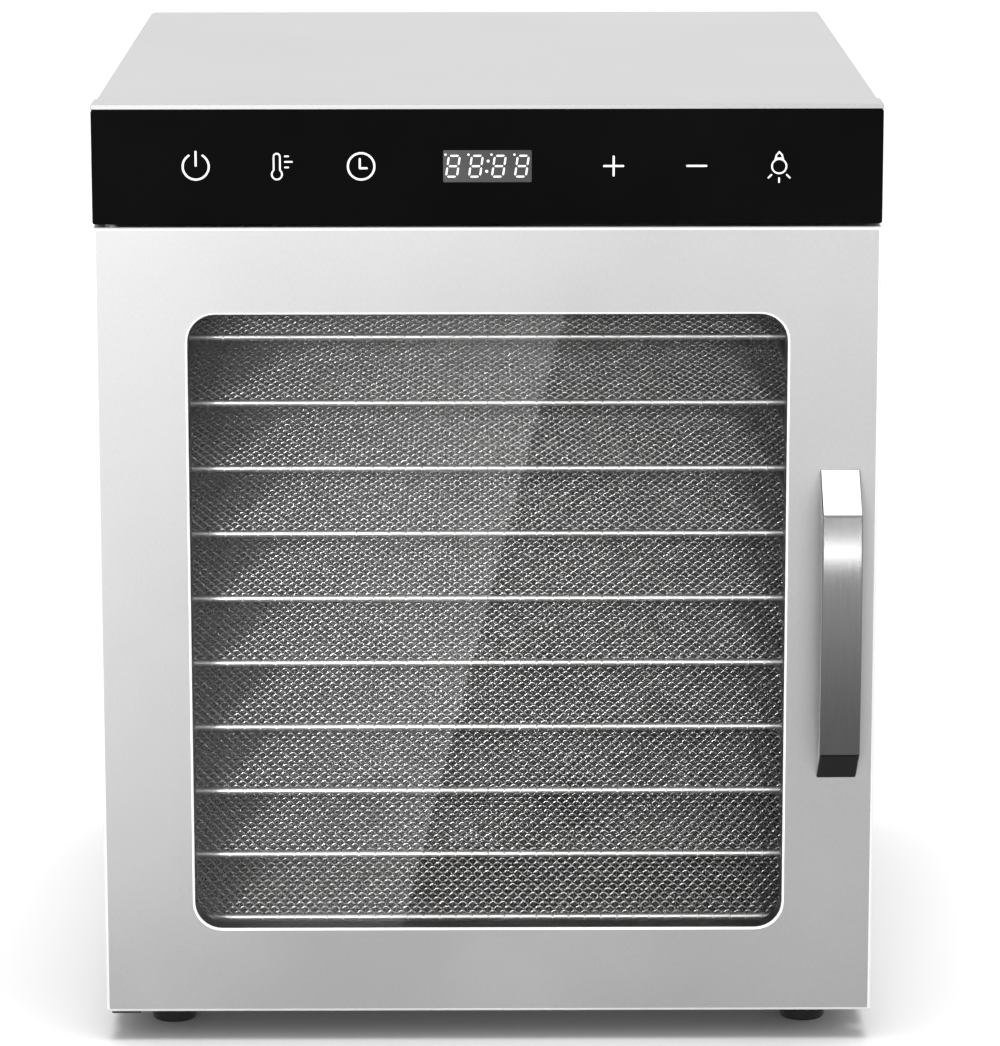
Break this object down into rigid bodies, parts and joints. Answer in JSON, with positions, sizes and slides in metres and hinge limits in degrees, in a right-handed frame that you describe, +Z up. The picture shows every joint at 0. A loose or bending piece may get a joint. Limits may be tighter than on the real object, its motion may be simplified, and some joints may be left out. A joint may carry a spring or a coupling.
{
  "type": "food dehydrator",
  "caption": "Front-loading cabinet food dehydrator in brushed steel, with a glazed side-hinged door, a black touch panel and a stack of wire mesh trays.",
  "frame": {"origin": "middle of the whole object's width and depth, on the surface that the feet stand on", "axes": "+X to the viewer's right when facing the door, +Y to the back, +Z up"},
  "size_m": [0.34, 0.4226, 0.4187],
  "materials": {
    "case_steel": "brushed satin stainless sheet",
    "liner_steel": "bright rolled stainless sheet",
    "tray_steel": "polished stainless wire",
    "handle_steel": "polished",
    "black_glass": "gloss, back-painted black",
    "clear_glass": "clear tempered",
    "lamp_glass": "frosted",
    "black_enamel": "matt black",
    "black_rubber": "matt",
    "black_plastic": "fine moulded texture",
    "circuit_board": "solder mask",
    "spring_metal": "bright",
    "motor_metal": "laminated steel",
    "heater_sheath": "heat-tinted sheath",
    "ceramic_white": "glazed ceramic, white",
    "plated_steel": "zinc plated",
    "magnet_black": "moulded case",
    "fan_aluminium": "pressed, satin",
    "white_nylon": "moulded"
  },
  "bodies": {
    "cabinet": {"base_pan": "case_steel", "outer_wrap": "case_steel", "back_panel": "case_steel", "front_frame": "case_steel", "liner_left": "liner_steel", "liner_right": "liner_steel", "liner_floor": "liner_steel", "liner_ceiling": "liner_steel", "liner_back": "liner_steel", "rear_baffle": "liner_steel", "tray_rails_left": "liner_steel", "tray_rails_right": "liner_steel", "fascia": "case_steel", "control_glass": "black_glass", "display_module": "black_plastic", "touch_springs": "spring_metal", "control_board": "circuit_board", "board_carrier": "black_plastic", "power_board": "circuit_board", "fan_motor": "motor_metal", "motor_bracket": "liner_steel", "heating_element": "heater_sheath", "thermal_cutout": "ceramic_white", "temperature_probe": "liner_steel", "lamp_holder": "ceramic_white", "lamp_bulb": "lamp_glass", "lamp_cover": "clear_glass", "hinge_lower": "black_enamel", "hinge_upper": "plated_steel", "magnet_catch": "magnet_black", "cable_gland": "black_rubber", "rear_spacers": "black_plastic", "case_screws": "plated_steel", "foot_front_left": "black_rubber", "foot_front_right": "black_rubber", "foot_rear_left": "black_rubber", "foot_rear_right": "black_rubber"},
    "fan": {"fan_shaft": "plated_steel", "fan_impeller": "fan_aluminium", "fan_nut": "plated_steel"},
    "door": {"door_skin": "case_steel", "door_inner_frame": "black_enamel", "door_glass": "clear_glass", "door_gasket": "black_rubber", "door_handle": "handle_steel", "handle_screws": "plated_steel", "hinge_bushes": "white_nylon", "strike_plate": "plated_steel"},
    "crumb_drawer": {"crumb_tray": "liner_steel"},
    "tray_01_slider": {"tray_01": "tray_steel"},
    "tray_02_slider": {"tray_02": "tray_steel"},
    "tray_03_slider": {"tray_03": "tray_steel"},
    "tray_04_slider": {"tray_04": "tray_steel"},
    "tray_05_slider": {"tray_05": "tray_steel"},
    "tray_06_slider": {"tray_06": "tray_steel"},
    "tray_07_slider": {"tray_07": "tray_steel"},
    "tray_08_slider": {"tray_08": "tray_steel"},
    "tray_09_slider": {"tray_09": "tray_steel"},
    "tray_10_slider": {"tray_10": "tray_steel"}
  },
  "joints": [
    {"name": "door_hinge", "type": "hinge", "parent": "cabinet", "child": "door", "pos_m": [-0.162, -0.18075, 0.1895], "axis": [0, 0, -1], "range_deg": [0, 120]},
    {"name": "fan_spin", "type": "hinge", "parent": "cabinet", "child": "fan", "pos_m": [0, 0.15525, 0.1895], "axis": [0, 1, 0], "continuous": true},
    {"name": "crumb_tray_slide", "type": "slide", "parent": "cabinet", "child": "crumb_drawer", "axis": [0, -1, 0], "range_m": [0, 0.022]},
    {"name": "tray_01_slide", "type": "slide", "parent": "cabinet", "child": "tray_01_slider", "axis": [0, -1, 0], "range_m": [0, 0.022]},
    {"name": "tray_02_slide", "type": "slide", "parent": "cabinet", "child": "tray_02_slider", "axis": [0, -1, 0], "range_m": [0, 0.022]},
    {"name": "tray_03_slide", "type": "slide", "parent": "cabinet", "child": "tray_03_slider", "axis": [0, -1, 0], "range_m": [0, 0.022]},
    {"name": "tray_04_slide", "type": "slide", "parent": "cabinet", "child": "tray_04_slider", "axis": [0, -1, 0], "range_m": [0, 0.022]},
    {"name": "tray_05_slide", "type": "slide", "parent": "cabinet", "child": "tray_05_slider", "axis": [0, -1, 0], "range_m": [0, 0.022]},
    {"name": "tray_06_slide", "type": "slide", "parent": "cabinet", "child": "tray_06_slider", "axis": [0, -1, 0], "range_m": [0, 0.022]},
    {"name": "tray_07_slide", "type": "slide", "parent": "cabinet", "child": "tray_07_slider", "axis": [0, -1, 0], "range_m": [0, 0.022]},
    {"name": "tray_08_slide", "type": "slide", "parent": "cabinet", "child": "tray_08_slider", "axis": [0, -1, 0], "range_m": [0, 0.022]},
    {"name": "tray_09_slide", "type": "slide", "parent": "cabinet", "child": "tray_09_slider", "axis": [0, -1, 0], "range_m": [0, 0.022]},
    {"name": "tray_10_slide", "type": "slide", "parent": "cabinet", "child": "tray_10_slider", "axis": [0, -1, 0], "range_m": [0, 0.022]}
  ]
}
